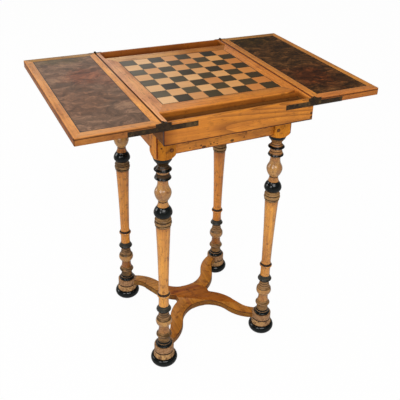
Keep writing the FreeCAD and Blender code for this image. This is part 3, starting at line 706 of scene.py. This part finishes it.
leg = {  # a step gives its shape, its height, three radii from the top down and its finish
    "axis": 145.2, "blockSize": 44.0, "blockTop": 669.5, "blockBottom": 600.8, "blockEase": 0.9,
    "dome": {"top": 670.5, "bottom": 600.8, "facets": 72, "steps": [
        ("line", 56.5, 33.0, 33.0, 33.0, "pale"), ("bow", 13.2, 32.3, 29.4, 22.3, "pale")]},
    "turning": {"top": 601.0, "bottom": 58.0, "facets": 64, "steps": [
        ("bow", 8.5, 22.2, 21.2, 19.6, "black"),  # cup
        ("bow", 11.5, 19.6, 15.4, 11.8, "worn"),
        ("bow", 7.5, 11.7, 13.5, 15.9, "worn"),  # upper ring
        ("bow", 3.2, 16.2, 17.6, 19.2, "black"),
        ("bead", 2.4, 19.2, 20.1, 19.0, "black"),
        ("bow", 1.4, 18.8, 16.5, 14.6, "black"),
        ("bow", 5.9, 14.4, 14.3, 14.5, "tan"),
        ("bow", 8.8, 14.8, 15.6, 17.4, "worn"),  # lower ring
        ("bow", 2.4, 17.4, 18.0, 18.5, "black"),
        ("bead", 2.4, 18.5, 19.1, 18.2, "black"),
        ("bow", 2.2, 18.0, 15.6, 13.6, "black"),
        ("bow", 12.0, 13.4, 12.3, 12.4, "tan"),  # vase
        ("bow", 11.0, 12.4, 13.4, 15.4, "vase"),
        ("bow", 12.0, 15.4, 18.4, 19.6, "vase"),
        ("bow", 20.6, 19.6, 17.1, 11.2, "vase"),
        ("bead", 2.6, 10.8, 11.2, 10.6, "brown"),
        ("bow", 11.3, 10.8, 11.9, 13.6, "tan"),  # cone
        ("bow", 6.5, 13.9, 15.4, 17.9, "black"),  # black ball
        ("bow", 10.0, 17.9, 20.3, 21.6, "black"),
        ("bow", 8.0, 21.6, 21.3, 19.4, "black"),
        ("bow", 4.5, 19.4, 17.6, 14.6, "black"),
        ("bow", 4.5, 15.4, 15.6, 16.4, "collar"),  # collar
        ("bead", 4.8, 17.4, 19.5, 18.4, "collar"),
        ("bead", 2.4, 18.0, 17.4, 18.0, "groove"),
        ("bead", 7.6, 18.6, 20.3, 18.6, "collar"),
        ("bead", 2.4, 17.9, 17.3, 17.9, "groove"),
        ("bead", 3.0, 18.2, 18.9, 17.8, "collar"),
        ("bow", 1.6, 17.5, 17.3, 17.2, "groove"),
        ("bow", None, 17.2, 13.9, 12.1, "pale"),  # shaft
        ("bow", 3.4, 12.1, 12.4, 13.1, "pale"),  # thin ring
        ("bow", 6.2, 13.1, 14.0, 15.3, "brown"),
        ("bead", 4.8, 15.5, 16.3, 15.0, "pale"),
        ("bow", 2.6, 14.6, 13.2, 12.8, "pale"),
        ("bow", 26.5, 12.8, 12.5, 12.9, "pale"),
        ("bow", 8.5, 13.1, 14.3, 16.2, "dusty"),  # dark ring
        ("bow", 3.0, 16.2, 17.0, 17.9, "dusty"),
        ("bead", 2.6, 17.9, 18.4, 17.6, "black"),
        ("bow", 3.4, 17.4, 14.4, 12.3, "black"),
        ("bow", 10.0, 12.1, 12.3, 13.1, "lined"),  # ball, with lines turned in its upper half
        ("bow", 11.0, 13.1, 13.9, 15.6, "lined"),
        ("bow", 5.0, 15.6, 17.2, 18.7, "olive"),
        ("bow", 7.0, 18.7, 19.6, 20.0, "vase"),
        ("bow", 15.0, 20.0, 18.2, 12.6, "vase"),
        ("bow", 7.0, 12.5, 12.4, 12.7, "tan"),
        ("bow", 12.0, 12.8, 13.2, 14.4, "tan"),  # pale ring
        ("bow", 9.0, 14.4, 16.3, 18.8, "olive"),
        ("bead", 3.4, 18.8, 19.5, 18.4, "lined"),
        ("bow", 2.4, 18.0, 16.0, 15.0, "brown"),
        ("bow", 15.0, 14.9, 14.7, 15.4, "olive"),
        ("bow", 4.0, 15.6, 16.1, 17.2, "black"),  # base
        ("bead", 1.4, 17.4, 17.9, 17.6, "lined"),
        ("bow", 4.0, 17.6, 18.2, 19.4, "black"),
        ("bead", 4.8, 19.6, 21.2, 20.4, "black")]}}


def legBlock(name, x, y):
    half = leg["blockSize"] / 2
    block = addCube(name, (x - half, y - half, leg["blockBottom"]),
                    (x + half, y + half, leg["blockTop"]))
    editMode(block, "EDGE")
    pick(block, "edges", lambda edge: abs(edge.verts[0].co.z - edge.verts[1].co.z) > mm)
    bpy.ops.mesh.bevel(offset=leg["blockEase"] * mm, segments=2)
    bpy.ops.object.mode_set(mode="OBJECT")
    cutWith(block, turnPiece("dome", leg["dome"], x, y), "INTERSECT")
    block.data.materials.clear()
    block.data.materials.append(blockWood)
    smoothByAngle(block)
    return block


foot = {"top": 41.0, "bottom": 0.0, "facets": 72, "steps": [
    ("bow", 2.2, 24.0, 24.5, 25.0, "groove"),
    ("bow", 14.0, 25.0, 26.3, 26.9, "foot"),
    ("bow", 1.6, 26.4, 26.2, 26.6, "brown"),
    ("bead", 23.2, 28.2, 34.0, 25.2, "black")]}


def toCorners(first, label):  # the front left one is made, the other three are copies
    axis = leg["axis"]
    for corner, (word, sx, sy) in corners.items():
        piece = first
        if corner != "FrontLeft":
            piece = placedCopy(first, label + corner, point((sx + 1) * axis, (sy + 1) * axis, 0))
        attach(piece, "table")
        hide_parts(label + "_" + word)


def makeStand():
    place = (-leg["axis"], -leg["axis"])
    turned = turnPiece("legFrontLeft", leg["turning"], *place)
    joinInto(turned, [legBlock("legBlock", *place)])
    toCorners(turned, "leg")
    toCorners(turnPiece("footFrontLeft", foot, *place), "foot")


makeStand()
print("legs and feet turned")


# stretcher
stretcher = {"top": 58.0, "bottom": 41.0, "ease": 1.8, "lapEase": 0.35, "lapAngle": 40,
             "lapReach": 41.6, "longestEdge": 16.0, "sharpest": 1.0, "level": 0.1}


def makeStretcherArm(node, name, material):
    arm = copyOfNode(node, name)
    editMode(arm, "EDGE")

    def onRim(edge):  # the upper and lower outline, but not the edges of the lap in the middle
        z, otherZ = (end.co.z / mm for end in edge.verts)
        flat = abs(z - otherZ) < stretcher["level"]
        outer = min(abs(z - stretcher["top"]), abs(z - stretcher["bottom"])) < stretcher["level"]
        short = edge.calc_length() < stretcher["longestEdge"] * mm
        sharp = len(edge.link_faces) == 2 and edge.calc_face_angle() > stretcher["sharpest"]
        place = middle(edge) / mm
        beyondLap = max(abs(place.x), abs(place.y)) > stretcher["lapReach"]
        return flat and outer and short and sharp and beyondLap
    pick(arm, "edges", onRim)
    bpy.ops.mesh.bevel(offset=stretcher["ease"] * mm, segments=3)
    bpy.ops.object.mode_set(mode="OBJECT")
    easeEdges(arm, stretcher["lapEase"], stretcher["lapAngle"])
    finishPiece(arm, material, "table")


makeStretcherArm("stretcher_long_arm", "stretcherLongArm", stretcherCrossWood)
makeStretcherArm("stretcher_cross_arm", "stretcherCrossArm", stretcherWood)
print("stretcher done")


# pieces that keep their CAD form, with eased arrises
easedPieces = {  # the node, the slot, then the wood of each side's piece and how far it is eased
    "apron": ("apron_{}", "frame_fruitwood", {
        "front": (apronWood, 1.2), "back": (apronWood, 1.2),
        "left": (apronSideWood, 1.2), "right": (apronSideWood, 1.2)}),
    "rail": ("box_{}_rail", "frame_fruitwood", {
        "front": (railWood, 0.5), "back": (backRailWood, 0.5),
        "left": (sideRailWood, 0.4), "right": (sideRailWood, 0.4)}),
    "margin": ("board_margin_{}", "margin_fruitwood", {
        side: (material, 0.15) for side, material in marginWoods.items()})}


def makeEased():
    for label, (node, slot, sides) in easedPieces.items():
        for side, (material, ease) in sides.items():
            piece = copyOfNode(node.format(side), label + side.title())
            easeEdges(piece, ease)
            finishPiece(piece, material, "table")


makeEased()
print("box, aprons and margins eased")


# leaves: mitred members with a scratched line below their top edge
leaf = {"outer": 353.0, "halfDepth": 233.0, "lineFrom": 158.0, "lineTop": 716.9,
        "lineBottom": 716.1, "lineDepth": 0.8, "lineCorner": 2.0, "ease": 0.25}


def scratchStock(side):  # the thin frame that the line leaves behind in the edges
    depth = leaf["lineDepth"]
    x0, x1, y = leaf["lineFrom"], leaf["outer"], leaf["halfDepth"]
    bottom, top = leaf["lineBottom"], leaf["lineTop"]
    ring = addCube("scratchStock", (x0, -y - 3, bottom), (x1 + 3, y + 3, top))
    hole = addCube("scratchHole", (x0 - 5, depth - y, bottom - 1),
                   (x1 - depth, y - depth, top + 1))
    editMode(hole, "EDGE")
    pick(hole, "edges", lambda edge: all(end.co.x > x0 * mm for end in edge.verts)
         and edge.verts[0].co.y * edge.verts[1].co.y > 0)
    bpy.ops.mesh.bevel(offset=leaf["lineCorner"] * mm, segments=3)
    bpy.ops.object.mode_set(mode="OBJECT")
    cutWith(ring, hole)
    if side < 0:
        editMode(ring)
        bpy.ops.mesh.select_all(action="SELECT")
        bpy.ops.transform.resize(value=(-1, 1, 1), center_override=(0, 0, 0))
        bpy.ops.mesh.normals_make_consistent(inside=False)
        bpy.ops.object.mode_set(mode="OBJECT")
    return ring


def makeLeaf(label, side):
    body = label + "_leaf"
    stock = scratchStock(side)
    along, across = leafWoods[label]
    for member, material in (("front_member", across), ("back_member", across),
                             ("inner_member", along), ("outer_member", along)):
        piece = copyOfNode(body + "_" + member, label + "Leaf" + member.split("_")[0].title())
        if member != "inner_member":
            cutWith(piece, stock, keep=True)
        easeEdges(piece, leaf["ease"])
        finishPiece(piece, material, body)
    bpy.data.objects.remove(stock)


makeLeaf("left", -1)
makeLeaf("right", 1)
print("leaves framed")


# hinges
screw = {"places": (14.0, 41.0, 68.0), "z": 708.75, "radius": 3.0, "proud": 0.15, "sunk": 1.2,
         "rim": 0.3, "slotWidth": 0.7, "slotDepth": 0.8, "sides": 32}
hinge = {"pinX": 177.0, "face": 233.0, "ease": 0.3, "easeAngle": 45, "pinEase": 0.25,
         "slotSeed": 7}  # the seed draws how far each screw was turned


def makeScrew(x, y, outward, turn):
    clearSelection()
    radius = screw["radius"]
    height = screw["proud"] + screw["sunk"]
    bpy.ops.mesh.primitive_cylinder_add(vertices=screw["sides"], radius=radius * mm,
                                        depth=height * mm, location=point(0, 0, 0))
    head = bpy.context.object
    head.name = head.data.name = "screw"
    editMode(head, "EDGE")
    pick(head, "edges", lambda edge: all(end.co.z > 0 for end in edge.verts))
    bpy.ops.mesh.bevel(offset=screw["rim"] * mm, segments=3)
    bpy.ops.object.mode_set(mode="OBJECT")
    top = height / 2
    slot = addCube("screwSlot", (-radius - 1, -screw["slotWidth"] / 2, top - screw["slotDepth"]),
                   (radius + 1, screw["slotWidth"] / 2, top + 1))
    cutWith(head, slot)
    head.rotation_euler = (0, 0, turn)
    workOn(head)
    bpy.ops.object.transform_apply(location=True, rotation=True, scale=True)
    head.rotation_euler = (-outward * math.pi / 2, 0, 0)
    head.location = point(x, y + outward * (screw["proud"] - height / 2), screw["z"])
    bpy.ops.object.transform_apply(location=True, rotation=True, scale=True)
    smoothByAngle(head)
    head.data.materials.append(screwBrass)
    return head


def makeHinges():
    draw = random.Random(hinge["slotSeed"])
    for corner, (word, sx, sy) in corners.items():
        leafBody = ("left" if sx < 0 else "right") + "_leaf"
        for part, way, body in (("box", -1, "table"), ("leaf", 1, leafBody)):
            strap = copyOfNode("hinge_" + word + "_" + part + "_strap",
                               "hinge" + corner + part.title() + "Strap")
            easeEdges(strap, hinge["ease"], hinge["easeAngle"])
            smoothByAngle(strap)
            strap.data.materials.append(agedBrass)
            screws = [makeScrew(sx * (hinge["pinX"] + way * place), sy * hinge["face"], sy,
                                draw.uniform(0, math.pi)) for place in screw["places"]]
            joinInto(strap, screws)
            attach(strap, body)
    pins = copyOfNode("hinge_pins", "hingePins")
    easeEdges(pins, hinge["pinEase"])
    finishPiece(pins, rubbedBrass, "table")


makeHinges()
print("hinges and screws done")


# pegs
peg = {"radius": 3.25, "proud": 0.4, "sunk": 6.0, "heights": (622.0, 657.0), "offset": 12.5,
       "face": 167.2, "ease": 0.5, "sides": 8}


def makePegs():
    pegs = []
    for _, sx, sy in corners.values():
        along = sx * (leg["axis"] - peg["offset"])
        out = sy * (peg["face"] - (peg["sunk"] - peg["proud"]) / 2)
        for height in peg["heights"]:
            for place, turn in ((point(along, out, height), (math.pi / 2, 0, 0)),
                                (point(out, along, height), (0, math.pi / 2, 0))):
                clearSelection()
                bpy.ops.mesh.primitive_cylinder_add(
                    vertices=peg["sides"], radius=peg["radius"] * mm,
                    depth=(peg["sunk"] + peg["proud"]) * mm, location=place, rotation=turn)
                bpy.ops.object.transform_apply(location=True, rotation=True, scale=True)
                pegs.append(bpy.context.object)
    first = pegs[0]
    joinInto(first, pegs[1:])
    first.name = first.data.name = "apronPegs"
    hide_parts("apron_pegs")
    easeEdges(first, peg["ease"])
    finishPiece(first, pegWood, "table")


makePegs()
print("pegs driven")


# nodes that keep their own mesh
kept = {
    "glue_blocks": carcaseWood, "top_screws": oldSteel, "box_bottom_board": carcaseWood,
    "well_partition_front": wellWood, "well_partition_back": wellWood, "board_core": carcaseWood,
    "board_border_line": stringing, "dark_squares": darkSquare, "light_squares": lightSquare,
    "left_leaf_core": carcaseWood, "right_leaf_core": carcaseWood,
    "left_leaf_line": stringing, "right_leaf_line": stringing,
    "left_leaf_burr_panel": leftBurr, "right_leaf_burr_panel": rightBurr,
}
for node, material in kept.items():
    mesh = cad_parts[node].data
    mesh.materials.clear()
    mesh.materials.append(material)
print("kept nodes finished:", len(kept))


# floor, light and camera
stage = {
    "floorSize": 14.0, "floorDrop": 0.0005, "floorShade": (0.90, 0.90, 0.90, 1.0),
    "whiteShare": 0.97, "mirroredShare": 0.8, "mirroredFloor": 0.30, "white": (1, 1, 1, 1),
    "worldLight": 0.47, "warmth": (1.0, 0.955, 0.88, 1.0),
    "horizon": 0.30, "ceiling": 0.12, "ceilingFrom": 0.0, "ceilingTo": 0.18,
    "lamps": [  # name, place, aim, size, watts
        ("keyWindow", (-0.5, -2.6, 2.9), (0, 0, 0.5), 2.0, 68.0),
        ("sideWindow", (-2.3, -1.6, 1.7), (0, 0, 0.4), 0.8, 15.0),
        ("lowWindow", (-2.0, 1.4, 1.1), (0, 0, 0.35), 0.9, 13.0),
        ("backWindow", (0.3, 2.8, 1.8), (-0.1, 0, 0.7), 1.5, 7.0)],
    "camera": {"place": (-0.5755, -1.2292, 1.2115), "turn": (62.2996, -2.2618, -26.867),
               "lens": 54.606, "shift": (-0.05723, -0.10635), "sensor": 36.0}}


def rays(tree):  # those that come straight from the viewer, and those that come off a gloss
    path = addNode(tree, "LightPath").outputs
    direct = calc(tree, "MAXIMUM", path["Is Camera Ray"], path["Is Transmission Ray"])
    return direct, path["Is Glossy Ray"]


def whiteForViewer(tree, surface):  # almost plain white to the viewer, dim in reflections
    direct, glossy = rays(tree)
    strength = calc(tree, "MULTIPLY_ADD", glossy, stage["mirroredFloor"] - 1.0, 1.0)
    glow = addNode(tree, "Emission", {"Color": stage["white"], "Strength": strength}).outputs[0]
    share = calc(tree, "MULTIPLY", direct, stage["whiteShare"])
    share = calc(tree, "MULTIPLY_ADD", glossy, stage["mirroredShare"], share)
    return addNode(tree, "MixShader", {0: share, 1: surface, 2: glow}).outputs[0]


def makeFloor():
    clearSelection()
    bpy.ops.mesh.primitive_plane_add(size=stage["floorSize"], location=(0, 0, -stage["floorDrop"]))
    floor = bpy.context.object
    floor.name = "floor"
    material, tree = startMaterial("paleFloor")
    paint = addNode(tree, "BsdfDiffuse", {"Color": stage["floorShade"]}).outputs[0]
    addNode(tree, "OutputMaterial", {"Surface": whiteForViewer(tree, paint)})
    floor.data.materials.append(material)


def makeWorld():
    world = bpy.data.worlds.new("studio")
    bpy.context.scene.world = world
    world.use_nodes = True
    tree = world.node_tree
    tree.nodes.clear()
    direct, glossy = rays(tree)
    upwards = addNode(tree, "TexCoord").outputs["Generated"]
    height = addNode(tree, "SeparateXYZ", {0: upwards}).outputs[2]
    mirrored = spread(tree, height, stage["ceilingFrom"], stage["ceilingTo"], stage["horizon"],
                      stage["ceiling"])
    plain = calc(tree, "MULTIPLY_ADD", direct, 1.0 - stage["worldLight"], stage["worldLight"])
    extra = calc(tree, "MULTIPLY", glossy, calc(tree, "SUBTRACT", mirrored, stage["worldLight"]))
    sky = addNode(tree, "Background", {
        "Color": blend(tree, direct, stage["warmth"], stage["white"]),
        "Strength": calc(tree, "ADD", plain, extra)})
    addNode(tree, "OutputWorld", {"Surface": sky.outputs[0]})


def hangLamps():
    for name, place, aim, size, watts in stage["lamps"]:
        clearSelection()
        bpy.ops.object.light_add(type="AREA", location=place)
        lamp = bpy.context.object
        lamp.name = name
        lamp.data.size = size
        lamp.data.energy = watts
        towards = Vector(aim) - Vector(place)
        lamp.rotation_euler = towards.to_track_quat("-Z", "Y").to_euler()


def setCamera():
    view = stage["camera"]
    bpy.ops.object.camera_add(location=view["place"],
                              rotation=[math.radians(angle) for angle in view["turn"]])
    camera = bpy.context.object
    camera.data.lens = view["lens"]
    camera.data.sensor_width = view["sensor"]
    camera.data.shift_x, camera.data.shift_y = view["shift"]
    bpy.context.scene.camera = camera
    bpy.context.scene.view_settings.view_transform = "Standard"


makeFloor()
makeWorld()
hangLamps()
setCamera()
clearSelection()
print("floor, light and camera set")
